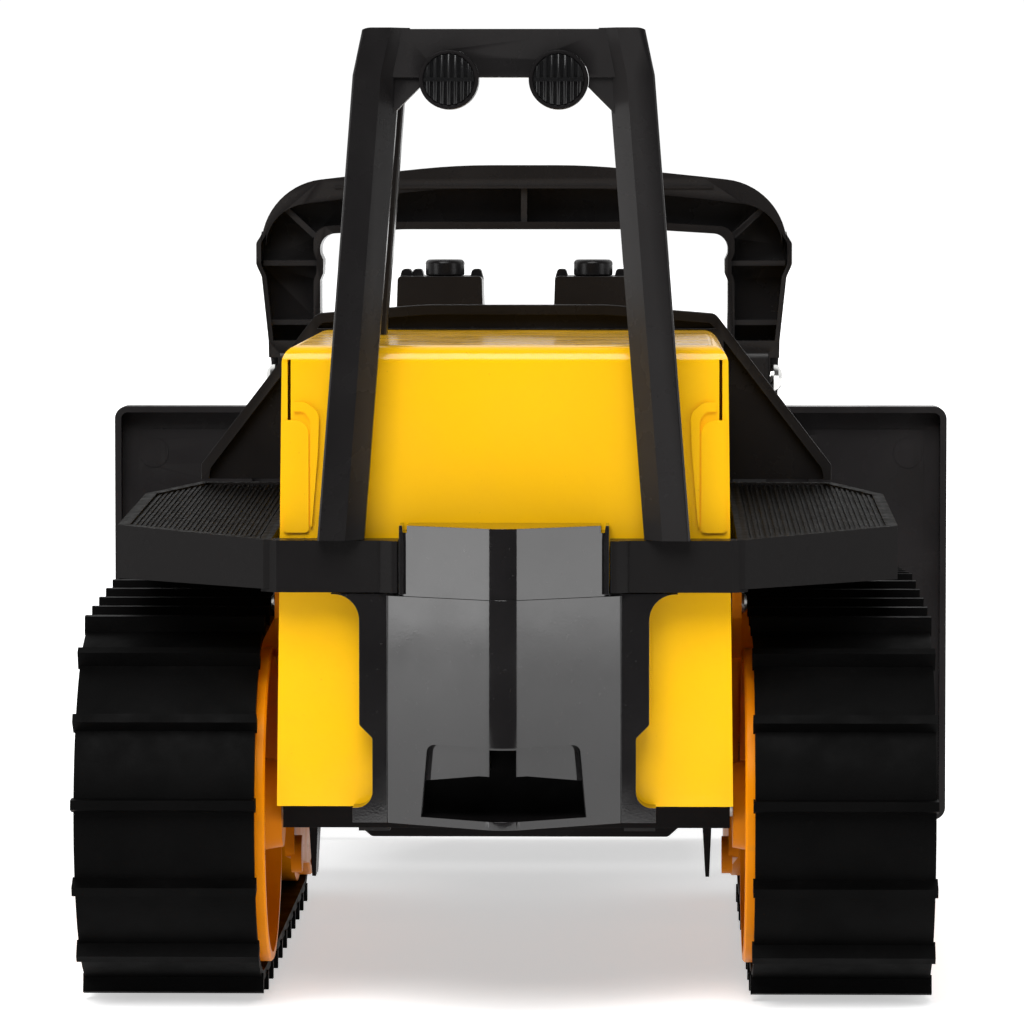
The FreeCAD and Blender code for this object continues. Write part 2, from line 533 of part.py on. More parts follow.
def pivot_screw():
    """Domed steel screw that the lift handle turns on."""
    shank = cylinder((SHELL_HALF - 10, PIVOT_Y, PIVOT_Z), (73.4, PIVOT_Y, PIVOT_Z), PIVOT_R)
    dome = revolved([(73.3, 0), (73.3, 4.3), (74.2, 4.3), (75.6, 3.6), (76.6, 2.2), (77.0, 0)])
    return shank.fuse(moved(dome, 0, PIVOT_Y, PIVOT_Z)).removeSplitter()


def air_cleaner():
    """Low box on the hood with scalloped lugs along its rear edge and a socket for its cap."""
    x0, x1, y0, y1, top = 10.3, 34.0, -5.0, 21.0, 180.6
    foot = HOOD_TOP + 0.05
    pieces = [prism("xz", [(x0 - 0.4, foot), (x1 + 0.4, foot), (x1, top, 1), (x0, top, 1)], y0, y1)]
    for x in (x0 + 1.8, x1 - 2.0, x1 - 5.2):
        lug = [(x - 2.0, top - 1), (x + 2.0, top - 1), (x + 1.2, top + 1.9, 1), (x - 1.2, top + 1.9, 1)]
        pieces.append(prism("xz", lug, 8.0, 17.0))
    socket = cylinder((21.0, 8.0, top - 6.0), (21.0, 8.0, top + 1), 3.05)
    return fuse(pieces).cut(socket)


def air_cleaner_cap():
    """Round cap with a plug that sits in the box."""
    top, crown = 180.6, 185.2
    lid = cylinder((21.0, 8.0, top + 0.05), (21.0, 8.0, crown), 5.5)
    edges = [e for e in lid.Edges if abs(e.BoundBox.ZMin - crown) < 0.01 and e.BoundBox.ZLength < 0.01]
    lid = lid.makeFillet(1.2, edges)
    return lid.fuse(cylinder((21.0, 8.0, top - 5.5), (21.0, 8.0, top + 1), 3.0)).removeSplitter()


# ---- roll-over cage and lamps -------------------------------------------------------------------
def leaning_post(section, base, lean_to_kink, lean_to_top):
    """Post whose level section slides inwards up to the kink, and faster above it."""
    lower = Part.Face(outline("xy", section, base)).extrude(
        FreeCAD.Vector(-lean_to_kink, 0, CAGE_KINK - base))
    shifted = [(p[0] - lean_to_kink,) + tuple(p[1:]) for p in section]
    upper = Part.Face(outline("xy", shifted, CAGE_KINK)).extrude(
        FreeCAD.Vector(-lean_to_top, 0, CAGE_TOP - CAGE_KINK))
    return lower.fuse(upper)


def cage_rear_frame():
    """Two leaning posts with a bevelled inner flank, a recessed top bar and diagonal gussets."""
    out = POST_OUT_BASE
    section = [(out, POST_REAR, 0.8), (out, POST_FRONT, 0.8), (out - 11.5, POST_FRONT, 0.8),
               (out - 11.5, POST_REAR + 5.5), (out - 7.0, POST_REAR)]
    post = leaning_post(section, CAGE_BASE, POST_OUT_BASE - POST_OUT_KINK, POST_OUT_KINK - POST_OUT_TOP)
    bar = box(-29, 29, POST_REAR + 3.5, POST_FRONT, CAGE_KINK - 0.5, CAGE_TOP - 0.3)
    gusset = prism("xz", [(18, CAGE_KINK), (30, 222), (30, CAGE_KINK + 2), (18, CAGE_KINK + 2)],
                   POST_REAR + 4.5, POST_FRONT - 1)
    frame = fuse([post, left_of(post), bar, gusset, left_of(gusset)])
    round_top = prism("xz", mirrored([(70, 100), (70, 190), (35.6, CAGE_TOP, 5.0)]), -230, -180)
    frame = frame.common(round_top)
    sockets = [cylinder((x, -215, LAMP_Z), (x, -185, LAMP_Z), LAMP_R + 0.1) for x in (-LAMP_X, LAMP_X)]
    return frame.cut(sockets)


def cage_front_frame():
    """Two leaning posts on the body top and a slim cross bar."""
    base = BODY_TOP + 0.1
    lean = (POST_OUT_BASE - POST_OUT_KINK) * (CAGE_KINK - base) / (CAGE_KINK - CAGE_BASE)
    out = POST_OUT_KINK + lean
    section = [(out, FRONT_POST_REAR, 0.8), (out, FRONT_POST_FRONT, 0.8),
               (out - 9.0, FRONT_POST_FRONT, 0.8), (out - 9.0, FRONT_POST_REAR, 0.8)]
    post = leaning_post(section, base, lean, POST_OUT_KINK - POST_OUT_TOP)
    bar = box(-30, 30, FRONT_POST_REAR + 1.5, FRONT_POST_FRONT - 1.5, CAGE_TOP - 7.5, CAGE_TOP - 1.0)
    frame = fuse([post, left_of(post), bar])
    return frame.common(prism("xz", mirrored([(70, 100), (70, 190), (35.6, CAGE_TOP, 5.0)]), -95, -79))


def cage_rail():
    """Roof rail between the rear and front frames."""
    section = [(27, 237.5), (36.4, 237.5), (35.0, 245.2, 3.0), (27, 245.2, 1.0)]
    return prism("xz", section, POST_FRONT + 0.05, FRONT_POST_REAR - 0.05)


def lamp_housing():
    """Round bucket with a collar, open to the rear."""
    y0, y1 = -205.6, -192.6
    bucket = cylinder((LAMP_X, y0, LAMP_Z), (LAMP_X, y1, LAMP_Z), LAMP_R)
    edges = [e for e in bucket.Edges if abs(e.BoundBox.YMin - y1) < 0.01 and e.BoundBox.YLength < 0.01]
    bucket = bucket.makeFillet(3.0, edges)
    return bucket.cut(cylinder((LAMP_X, y0 - 1, LAMP_Z), (LAMP_X, y0 + 4.5, LAMP_Z), LAMP_R - 1.1))


def lamp_lens():
    """Ribbed lens with a level bar across its middle."""
    radius, face_y = LAMP_R - 1.15, -205.4
    disc = cylinder((LAMP_X, face_y, LAMP_Z), (LAMP_X, face_y + 4.0, LAMP_Z), radius)
    ribs = []
    for i in range(7):
        x = LAMP_X + (i - 3) * 1.7
        ribs.append(cylinder((x, face_y, LAMP_Z - radius), (x, face_y, LAMP_Z + radius), 0.6))
    ribs.append(box(LAMP_X - radius, LAMP_X + radius, face_y - 0.9, face_y + 0.2, LAMP_Z - 0.5, LAMP_Z + 0.5))
    bound = cylinder((LAMP_X, face_y - 2, LAMP_Z), (LAMP_X, face_y + 4.0, LAMP_Z), radius)
    return fuse([disc] + [rib.common(bound) for rib in ribs])


# ---- lift handle and blade ----------------------------------------------------------------------
def hoop(out, top, inn, under, corner_r, foot, y0, y1):
    """Arched U in the XZ plane between an outer and an inner outline, from its foot height upwards."""
    outer = mirrored([(out, foot), (out + 0.4, 160), (out + 2.4, 179, 3), (out + 4.0, 182.5, 3),
                      (out + 4.0, 189, 2), (out + 2.4, 191.5, 3), (out + 2.0, top - 6.2, corner_r),
                      (53, top - 3.4, 60), (20, top, 200)])
    inner = mirrored([(inn, foot - 1), (inn, 178, 2), (inn - 0.9, 180), (inn - 0.9, 184), (inn, 186, 2),
                      (inn, under - 1.5, 4.5), (36, under, 60)])
    return prism("xz", outer, y0, y1).cut(prism("xz", inner, y0 - 1, y1 + 1))


def blade_back_line(offset):
    """Curved outline, in the YZ plane, of everything in front of the blade's skin, moved by an offset."""
    low = FreeCAD.Vector(0, FRONT_END - 1.0 + offset, BLADE_BOTTOM - 10)
    mid = FreeCAD.Vector(0, 207.5 + offset, 70)
    high = FreeCAD.Vector(0, FRONT_END - 4.0 + offset, BLADE_TOP + 10)
    front_low = FreeCAD.Vector(0, 260, BLADE_BOTTOM - 10)
    front_high = FreeCAD.Vector(0, 260, BLADE_TOP + 10)
    return Part.Wire([Part.Arc(low, mid, high).toShape(), Part.makeLine(high, front_high),
                      Part.makeLine(front_high, front_low), Part.makeLine(front_low, low)])


def in_front_of_skin(offset):
    """Solid that fills the space in front of the curved skin."""
    return moved(Part.Face(blade_back_line(offset)).extrude(FreeCAD.Vector(300, 0, 0)), -150)


def push_arm():
    """Curved side arm from the pivot down to the blade, hollowed on both faces."""
    arm_outline = [(83, 141, 6), (85, 160, 6), (99, 160, 6), (112, 151, 14), (170, 90, 30), (230, 84),
                   (230, 30), (182, 38, 25), (104, 124, 30), (94, 136, 6)]
    arm = prism("yz", arm_outline, ARM_IN, ARM_OUT)
    wire = outline("yz", arm_outline, ARM_IN).makeOffset2D(-3.0)
    pocket = Part.Face(wire).extrude(FreeCAD.Vector(3.6, 0, 0))
    keep = cylinder((ARM_IN - 1, PIVOT_Y, PIVOT_Z), (ARM_OUT + 1, PIVOT_Y, PIVOT_Z), 10.0)
    pocket = pocket.cut([keep, box(60, 80, 194, 240, 0, 200)])
    holes = [cylinder((x, 190, z), (x, 240, z), 1.85) for x, z in blade_screw_places() if x > 0]
    arm = arm.cut([moved(pocket, -0.1), moved(pocket, ARM_OUT - ARM_IN - 3.5)] + holes)
    return arm.cut(in_front_of_skin(-BLADE_SKIN - BLADE_PANEL - 0.05))


def lift_handle():
    """One moulding: a U of channel section open to the rear, with its two push arms and a cross tube."""
    y0, y1, web = PIVOT_Y - HANDLE_DEPTH / 2, PIVOT_Y + HANDLE_DEPTH / 2, 2.6
    solid_hoop = hoop(LEG_OUT - 2.0, HANDLE_TOP, LEG_IN, HANDLE_UNDER, 20.0, 138.0, y0, y1)
    channel = hoop(LEG_OUT - 3.4, HANDLE_TOP - 6.6, LEG_IN + 2.0, HANDLE_UNDER + 2.2, 13.0, 160.0,
                   y0 - 1, y1 - web)
    pieces = [solid_hoop.cut(channel)]
    y_rib, ribs = y0 + 3.0, []
    for z in (182.2, 164.6):
        rib = box(LEG_IN + 1, LEG_OUT, y_rib, y1 - 1, z, z + 1.5)
        ribs += [rib, left_of(rib)]
    ribs.append(box(-0.9, 0.9, y_rib - 1.5, y1 - 1, HANDLE_UNDER - 2, HANDLE_TOP - 1))
    corner = prism("xz", [(61.5, 191.6), (62.7, 190.4), (73.6, 200.6), (72.4, 201.8)], y_rib, y1 - 1)
    ridge = box(-56, 56, y0 - 0.5, y0 + 0.5, HANDLE_TOP - 6.9, HANDLE_TOP - 6.0)
    ribs += [corner, left_of(corner)]
    pieces += [rib.common(solid_hoop) for rib in ribs] + [ridge]
    arm = push_arm()
    tube = cylinder((-ARM_IN - 4, 172, 62), (ARM_IN + 4, 172, 62), 4.5)
    body = fuse(pieces + [arm, left_of(arm), tube])
    bore = cylinder((-90, PIVOT_Y, PIVOT_Z), (90, PIVOT_Y, PIVOT_Z), PIVOT_R + 0.06)
    head_room = cylinder((73.0, PIVOT_Y, PIVOT_Z), (82, PIVOT_Y, PIVOT_Z), 6.2)
    rear_room = box(73.0, 82, y0 - 1, PIVOT_Y, PIVOT_Z - 6.2, PIVOT_Z + 6.2)
    return body.cut([bore, head_room, left_of(head_room), rear_room, left_of(rear_room)])


def blade():
    """Curved blade: a skin with a deep rim behind it, brackets and a row of stiffening ribs."""
    rim = 2.0
    frame = prism("xz", [(-BLADE_HALF, BLADE_BOTTOM, 4), (BLADE_HALF, BLADE_BOTTOM, 4),
                         (BLADE_HALF, BLADE_TOP, 4), (-BLADE_HALF, BLADE_TOP, 4)], BLADE_BACK, 240)
    body = frame.cut(in_front_of_skin(0.0))
    pocket = prism("xz", [(-BLADE_HALF + rim, BLADE_BOTTOM + rim, 2), (BLADE_HALF - rim, BLADE_BOTTOM + rim, 2),
                          (BLADE_HALF - rim, BLADE_TOP - rim, 2), (-BLADE_HALF + rim, BLADE_TOP - rim, 2)],
                   BLADE_BACK - 1, 240).cut(in_front_of_skin(-BLADE_SKIN))
    pieces = [body.cut(pocket)]
    for x in (ARM_IN - 3.2, ARM_OUT + 0.2, 88.0):
        cheek = box(x, x + 2.6, BLADE_BACK, 230, BLADE_BOTTOM + 1, BLADE_TOP - 9).cut(in_front_of_skin(-0.5))
        pieces += [cheek, left_of(cheek)]
    raised = in_front_of_skin(-BLADE_SKIN - BLADE_PANEL).cut(in_front_of_skin(-0.5))
    edge = BLADE_HALF - 7
    panel = prism("xz", [(-edge, 12), (edge, 12), (edge, 128.5), (-edge, 128.5)], 190, 240)
    pieces.append(raised.common(panel))
    marks = in_front_of_skin(-BLADE_SKIN - BLADE_PANEL - BLADE_MARK).cut(in_front_of_skin(-0.5))
    for x in (-119.5, 119.5):
        for z in (22.0, 121.0):
            pieces.append(marks.common(cylinder((x, 190, z), (x, 230, z), 4.6)))
    body = fuse(pieces)
    seat = box(-BLADE_HALF + 2, BLADE_HALF - 2, FRONT_END - 6.0, 240, 0, 26.2)
    holes = [cylinder((x, 190, z), (x, 240, z), 1.9) for x, z in blade_screw_places()]
    return body.cut([seat.common(body).cut(box(-200, 200, 150, FRONT_END - 2.9, 0, 200))] + holes)


def blade_screw_places():
    """(x, z) of the screws that hold the blade on its push arms."""
    x = (ARM_IN + ARM_OUT) / 2
    return [(side * x, z) for side in (-1, 1) for z in (46.0, 72.0)]


def cutting_edge():
    """Wear strip along the foot of the blade's front."""
    y0, y1 = FRONT_END - 2.7, FRONT_END
    strip = prism("xz", [(-BLADE_HALF + 2.3, BLADE_BOTTOM + 0.2), (BLADE_HALF - 2.3, BLADE_BOTTOM + 0.2),
                         (BLADE_HALF - 2.3, 26.0), (-BLADE_HALF + 2.3, 26.0)], y0, y1)
    bevel = prism("yz", [(y1 - 1.5, 0), (y1 + 1, 0), (y1 + 1, 14), (y1, 14)], -140, 140)
    return strip.cut(bevel)


def blade_screws():
    """Domed screws through the blade into the push arms."""
    screws = []
    front = in_front_of_skin(0.0)
    for x, z in blade_screw_places():
        shank = cylinder((x, 199.0, z), (x, 230, z), 1.8).cut(front)
        start = shank.BoundBox.YMax
        head = Part.makeSphere(4.2, FreeCAD.Vector(x, start - 2.2, z)).common(in_front_of_skin(0.02))
        neck = cylinder((x, start - 1.5, z), (x, start + 0.9, z), 1.8)
        screws.append(fuse([shank, head, neck]))
    return screws


# ---- fasteners ----------------------------------------------------------------------------------
def pan_screw_places():
    """(x, y) of the screws up through the pan."""
    return [(side * 48.0, y) for side in (-1, 1) for y in (-166.0, -76.0, -20.0, 136.0)]


def pan_screws():
    """Low domed screws, sunk into the underside of the pan."""
    screws = []
    seat, dome_r, apex = PAN_Z0 + PAN_BORE_DEEP - 0.02, 6.13, PAN_Z0 + 0.1
    for x, y in pan_screw_places():
        dome = Part.makeSphere(dome_r, FreeCAD.Vector(x, y, apex + dome_r)).common(
            box(x - 5, x + 5, y - 5, y + 5, PAN_Z0 - 1, seat))
        screws.append(dome.fuse(cylinder((x, y, PAN_Z0 + 1), (x, y, PAN_Z0 + 7), 1.5)).removeSplitter())
    return screws


def frame_screw_places():
    """(y, z) of the screws that hold a track frame against the body side."""
    return [(y, 98.0) for y in (-136.0, -96.0, -56.0)]


def frame_screws():
    """Pan-head screws through a track frame's guard into the body side."""
    screws = []
    for y, z in frame_screw_places():
        shank = cylinder((54.6, y, z), (60.4, y, z), 1.3)
        head = revolved([(60.32, 0), (60.32, 2.6), (61.2, 2.6), (61.9, 1.6), (61.9, 0)])
        screws.append(fuse([shank, moved(head, 0, y, z)]))
    return screws


# ---- everything, by node ------------------------------------------------------------------------
def build():
    """All pieces by node name; a list is one node of several separate solids."""
    pan_holes = []
    for x, y in pan_screw_places():
        pan_holes.append(cylinder((x, y, PAN_Z0 - 1), (x, y, 60), 1.52))
        pan_holes.append(cylinder((x, y, PAN_Z0 - 1), (x, y, PAN_Z0 + PAN_BORE_DEEP), PAN_BORE_R))
    parts = {
        "chassis_pan": chassis_pan().cut(pan_holes),
        "belly_guard": belly_guard(),
        "rear_axle": axle(REAR_AXLE_Y),
        "front_axle": axle(FRONT_AXLE_Y),
        "rear_axle_clips": axle_clip(REAR_AXLE_Y),
        "front_axle_clips": axle_clip(FRONT_AXLE_Y),
        "rear_axle_caps": axle_caps(REAR_AXLE_Y),
        "front_axle_caps": axle_caps(FRONT_AXLE_Y),
        "rear_body_shell": rear_body_shell(),
        "counterweight": counterweight(),
        "cowl_bulkhead": cowl_bulkhead(),
        "engine_hood": engine_hood(),
        "front_shell": front_shell(),
        "grille": grille(),
        "cage_rear_frame": cage_rear_frame(),
        "cage_front_frame": cage_front_frame(),
        "lift_handle": lift_handle(),
        "blade": blade(),
        "cutting_edge": cutting_edge(),
        "blade_screws": blade_screws(),
        "pan_screws": pan_screws(),
    }
    paired = {
        "wheel_rear": wheel(REAR_AXLE_Y),
        "wheel_front": wheel(FRONT_AXLE_Y),
        "track": track(),
        "track_frame": track_frame(),
        "fender": fender(),
        "fender_brackets": fender_bracket(),
        "cage_rail": cage_rail(),
        "lamp_housing": lamp_housing(),
        "lamp_lens": lamp_lens(),
        "air_cleaner": air_cleaner(),
        "air_cleaner_cap": air_cleaner_cap(),
        "pivot_screw": pivot_screw(),
        "frame_screws": frame_screws(),
    }
    for name, shape in paired.items():
        parts[name + "_right"] = shape
        parts[name + "_left"] = [left_of(s) for s in shape] if isinstance(shape, list) else left_of(shape)
    return parts


def main():
    """Write one STEP file per node."""
    os.makedirs("parts", exist_ok=True)
    for name, shape in build().items():
        solid = Part.makeCompound(shape) if isinstance(shape, list) else shape
        moved(solid, 0, 0, FLOOR_DROP).exportStep(os.path.join("parts", name + ".step"))


main()
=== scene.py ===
import json
import math

import bmesh
import bpy
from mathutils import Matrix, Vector


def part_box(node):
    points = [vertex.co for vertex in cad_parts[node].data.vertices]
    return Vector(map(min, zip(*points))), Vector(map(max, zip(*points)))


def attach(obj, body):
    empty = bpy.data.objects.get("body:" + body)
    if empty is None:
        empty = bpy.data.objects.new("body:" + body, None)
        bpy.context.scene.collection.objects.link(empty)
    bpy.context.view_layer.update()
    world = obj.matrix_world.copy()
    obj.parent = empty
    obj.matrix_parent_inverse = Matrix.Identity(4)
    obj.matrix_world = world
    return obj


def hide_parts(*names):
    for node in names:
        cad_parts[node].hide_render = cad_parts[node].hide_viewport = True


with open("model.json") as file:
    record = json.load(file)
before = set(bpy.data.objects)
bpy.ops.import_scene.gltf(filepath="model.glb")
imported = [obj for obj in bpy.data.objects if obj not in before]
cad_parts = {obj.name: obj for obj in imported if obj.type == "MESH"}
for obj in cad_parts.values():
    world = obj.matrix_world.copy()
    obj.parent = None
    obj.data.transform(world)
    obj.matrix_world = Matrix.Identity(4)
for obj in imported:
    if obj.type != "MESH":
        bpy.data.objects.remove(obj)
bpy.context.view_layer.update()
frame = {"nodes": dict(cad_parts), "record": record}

NODES = frame["nodes"]
BODIES = frame["record"]["behaviour"]["bodies"]
BODY_OF = {node: body for body, nodes in BODIES.items() for node in nodes}
SLOT_OF = {part["node"]: part["material_slot"] for part in frame["record"]["subparts"]}

# ---- camera: behind the toy, a little right of its middle, at the height of the cage ----------------
CAMERA_SIDE = 0.031
CAMERA_BACK = 1.5
CAMERA_HEIGHT = 0.2128
TRACK_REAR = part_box("track_left")[0][1]
LENS_MM = 211.6
TURN_LEFT = math.radians(1.108)
TILT_DOWN = math.radians(3.244)

# ---- stage and light levels: 1 is paper white --------------------------------------------------------
ROOM_AHEAD, ROOM_BEHIND = 1.05, 0.09
FLOOR_HALF_SIZE = 12.0
# Floor from behind the toy to far in front of it: metres along Y, brightness of the paper, its own glow.
# The paper greyer behind the toy is painted shade.
FLOOR_ZONES = (
    (-0.90, 0.66, 0.10), (-0.42, 0.90, 0.26), (-0.20, 0.93, 0.50), (0.35, 0.93, 0.58), (1.50, 0.93, 1.0),
)
# Black cloth that shows only in reflections: metres along Y, half its width, its height.
CLOTH_AT, CLOTH_HALF_WIDTH, CLOTH_HEIGHT = -0.66, 0.62, 0.30
KEY_SIZE, KEY_POWER = 2.2, 113.0
SIDE_SIZE, LEFT_POWER, RIGHT_POWER = 0.46, 1.75, 1.45
# The side softboxes stand where the slanted flanks of the rear block mirror them.
SIDE_X, SIDE_Y, SIDE_Z = 0.95, -0.67, 0.24

# ---- pieces: metres ----------------------------------------------------------------------------------
# Edge radius by start of the node's name; longer names come first.
EDGE_RADIUS = (
    ("track_frame", 0.0007), ("track_", 0.0004), ("counterweight", 0.0009), ("cage", 0.0009),
    ("lift_handle", 0.0007), ("blade_screws", 0.0003), ("blade", 0.0008), ("fender_brackets", 0.0003),
    ("fender", 0.00028), ("rear_body_shell", 0.0006), ("engine_hood", 0.0004), ("cowl", 0.0008),
    ("front_shell", 0.0008), ("air_cleaner", 0.0005), ("lamp_housing", 0.0004), ("lamp_lens", 0.00015),
    ("wheel", 0.0004), ("chassis", 0.0006), ("belly", 0.0006), ("grille", 0.0004), ("cutting", 0.0004),
)
# Black mouldings with a duller skin than the rest.
DULL_NODES = ("fender_left", "fender_right", "chassis_pan", "belly_guard", "lamp_housing")
# The studded field of a fender's top lies above this height and outside the rear body.
DECK_LOW, DECK_INNER = 0.119, 0.0612
# The tow recess and its slot: rearmost place of their walls, half width, lowest and highest place.
RECESS_REAR, RECESS_HALF_WIDTH, RECESS_LOW, RECESS_HIGH = -0.1995, 0.0212, 0.0515, 0.0702
# Points nearer than this are one point, and faces that differ by less than this angle are one face.
SAME_POINT, FLAT_WITHIN = 2e-6, math.radians(0.06)
# Edges sharper than these angles are rounded, and shaded as edges.
ROUNDED_FROM, SHARP_FROM = math.radians(38.0), math.radians(50.0)


def add_camera():
    """Long lens behind the toy."""
    data = bpy.data.cameras.new("camera")
    data.lens = LENS_MM
    data.sensor_width = 36.0
    data.clip_end = 50.0
    camera = bpy.data.objects.new("camera", data)
    camera.location = (CAMERA_SIDE, TRACK_REAR - CAMERA_BACK, CAMERA_HEIGHT)
    camera.rotation_euler = (math.pi / 2 - TILT_DOWN, 0.0, TURN_LEFT)
    bpy.context.scene.collection.objects.link(camera)
    bpy.context.scene.camera = camera


# ---- materials --------------------------------------------------------------------------------------
class Shader:
    """A Principled material with short ways to add noise, ramps and bump."""

    def __init__(self, name, roughness, metallic=0.0, coat=0.0, specular=0.5):
        self.material = bpy.data.materials.new(name)
        self.material.use_nodes = True
        self.tree = self.material.node_tree
        self.out = self.tree.nodes["Principled BSDF"]
        self.out.inputs["Metallic"].default_value = metallic
        self.out.inputs["Roughness"].default_value = roughness
        self.out.inputs["Specular IOR Level"].default_value = specular
        self.out.inputs["Coat Weight"].default_value = coat
        self.out.inputs["Coat Roughness"].default_value = 0.06
        self.space = self.tree.nodes.new("ShaderNodeTexCoord").outputs["Object"]

    def link(self, a, b):
        self.tree.links.new(a, b)

    def stretched(self, scale):
        """Object coordinates scaled along each axis."""
        node = self.tree.nodes.new("ShaderNodeMapping")
        node.inputs["Scale"].default_value = scale
        self.link(self.space, node.inputs["Vector"])
        return node.outputs["Vector"]

    def noise(self, scale, detail=4.0, rough=0.55, vector=None):
        """Fractal noise; scale is waves per metre."""
        node = self.tree.nodes.new("ShaderNodeTexNoise")
        node.inputs["Scale"].default_value = scale
        node.inputs["Detail"].default_value = detail
        node.inputs["Roughness"].default_value = rough
        self.link(vector or self.space, node.inputs["Vector"])
        return node.outputs["Fac"]

    def wave(self, axis, scale):
        """Rounded bands across one axis; scale is bands per metre."""
        node = self.tree.nodes.new("ShaderNodeTexWave")
        node.bands_direction = axis
        node.inputs["Scale"].default_value = scale * math.pi / 10.0
        self.link(self.space, node.inputs["Vector"])
        return node.outputs["Fac"]

    def multiply(self, a, b):
        node = self.tree.nodes.new("ShaderNodeMath")
        node.operation = "MULTIPLY"
        self.link(a, node.inputs[0])
        self.link(b, node.inputs[1])
        return node.outputs["Value"]

    def ramp(self, value, stops):
        """Colour ramp through (position, colour) stops."""
        node = self.tree.nodes.new("ShaderNodeValToRGB")
        ramp = node.color_ramp
        while len(ramp.elements) < len(stops):
            ramp.elements.new(0.5)
        for element, (position, colour) in zip(ramp.elements, stops):
            element.position = position
            element.color = tuple(colour) + (1.0,)
        self.link(value, node.inputs["Fac"])
        return node.outputs["Color"]

    def spread(self, value, low, high, lo_in=0.3, hi_in=0.7):
        """Value remapped from the middle of a noise to a range."""
        node = self.tree.nodes.new("ShaderNodeMapRange")
        node.inputs["From Min"].default_value = lo_in
        node.inputs["From Max"].default_value = hi_in
        node.inputs["To Min"].default_value = low
        node.inputs["To Max"].default_value = high
        self.link(value, node.inputs["Value"])
        return node.outputs["Result"]

    def edge_mask(self):
        """1 on sharp outer edges, 0 on flats."""
        node = self.tree.nodes.new("ShaderNodeNewGeometry")
        return self.spread(node.outputs["Pointiness"], 0.0, 1.0, 0.53, 0.62)

    def mix(self, factor, a, b):
        """Colour a blended to colour b; each is a socket or a colour."""
        node = self.tree.nodes.new("ShaderNodeMix")
        node.data_type = "RGBA"
        self.link(factor, node.inputs["Factor"])
        for socket, value in ((node.inputs[6], a), (node.inputs[7], b)):
            if isinstance(value, tuple):
                socket.default_value = value + (1.0,)
            else:
                self.link(value, socket)
        return node.outputs[2]

    def bump(self, *layers):
        """Stacked bumps, each (height socket, strength, depth in metres)."""
        normal = None
        for height, strength, depth in layers:
            node = self.tree.nodes.new("ShaderNodeBump")
            node.inputs["Strength"].default_value = strength
            node.inputs["Distance"].default_value = depth
            self.link(height, node.inputs["Height"])
            if normal:
                self.link(normal, node.inputs["Normal"])
            normal = node.outputs["Normal"]
        self.link(normal, self.out.inputs["Normal"])

    def colour(self, socket):
        self.link(socket, self.out.inputs["Base Color"])

    def roughness(self, socket):
        self.link(socket, self.out.inputs["Roughness"])


def yellow_paint():
    """Thick glossy enamel on steel: slight orange peel, faint tone drift, fine dark specks, and paler edges
    as a painted highlight.
    """
    s = Shader("yellow_enamel", 0.2, coat=0.15, specular=0.25)
    tone = s.ramp(s.noise(14.0, 3.0), [(0.3, (0.94, 0.450, 0.0006)), (0.7, (0.98, 0.490, 0.0010))])
    specks = s.ramp(s.noise(900.0, 2.0), [(0.72, (0.0, 0.0, 0.0)), (0.8, (1.0, 1.0, 1.0))])
    # Painted highlight: convex edges are a paler yellow.
    highlit_edges = s.mix(s.edge_mask(), tone, (0.98, 0.52, 0.004))
    s.colour(s.mix(specks, highlit_edges, (0.62, 0.30, 0.01)))
    s.roughness(s.spread(s.noise(60.0), 0.14, 0.22))
    s.bump((s.noise(420.0, 2.0), 0.10, 0.0003), (s.noise(35.0, 2.0), 0.12, 0.0012))
    return s.material


def yellow_plastic():
    """Moulded yellow plastic with soft flow marks."""
    s = Shader("yellow_plastic", 0.34, specular=0.06)
    flow = s.noise(22.0, 3.0, vector=s.stretched((1.0, 2.2, 0.7)))
    tone = s.ramp(flow, [(0.3, (0.74, 0.215, 0.001)), (0.7, (0.84, 0.27, 0.002))])
    dust = s.ramp(s.noise(160.0, 5.0, 0.7), [(0.56, (0.0, 0.0, 0.0)), (0.8, (0.35, 0.35, 0.35))])
    s.colour(s.mix(dust, tone, (0.42, 0.24, 0.05)))
    s.roughness(s.spread(s.noise(90.0), 0.26, 0.40))
    s.bump((s.noise(700.0, 2.0), 0.10, 0.0002))
    return s.material


def satin_black(name="satin_black_plastic", shine=0.19, edge_highlight=0.020, paleness=1.0):
    """Satin moulded black plastic: fine spark grain, and paler edges that are a painted highlight."""
    s = Shader(name, 0.3, specular=shine)
    low = (0.0072 * paleness, 0.0066 * paleness, 0.0068 * paleness)
    high = (0.0115 * paleness, 0.0106 * paleness, 0.0108 * paleness)
    tone = s.ramp(s.noise(30.0, 4.0), [(0.3, low), (0.7, high)])
    # Painted highlight: convex edges paler than the flats.
    s.colour(s.mix(s.edge_mask(), tone, (edge_highlight, edge_highlight * 0.94, edge_highlight * 0.94)))
    s.roughness(s.spread(s.noise(55.0, 5.0), 0.20, 0.32))
    s.bump((s.noise(2600.0, 2.0), 0.16, 0.00012), (s.noise(260.0, 3.0), 0.08, 0.0003))
    return s.material


def recess_shade_black():
    """Unpolished inner walls of the glossy moulding, darkened as painted shade."""
    s = Shader("recess_black_painted_shade", 0.6, specular=0.06)
    # Painted shade: far darker than the glossy black around the recess.
    s.colour(s.ramp(s.noise(90.0, 4.0), [(0.3, (0.0025, 0.0024, 0.0024)), (0.7, (0.0045, 0.0043, 0.0043))]))
    s.roughness(s.spread(s.noise(300.0, 4.0), 0.5, 0.7))
    s.bump((s.noise(900.0, 3.0), 0.2, 0.0002))
    return s.material


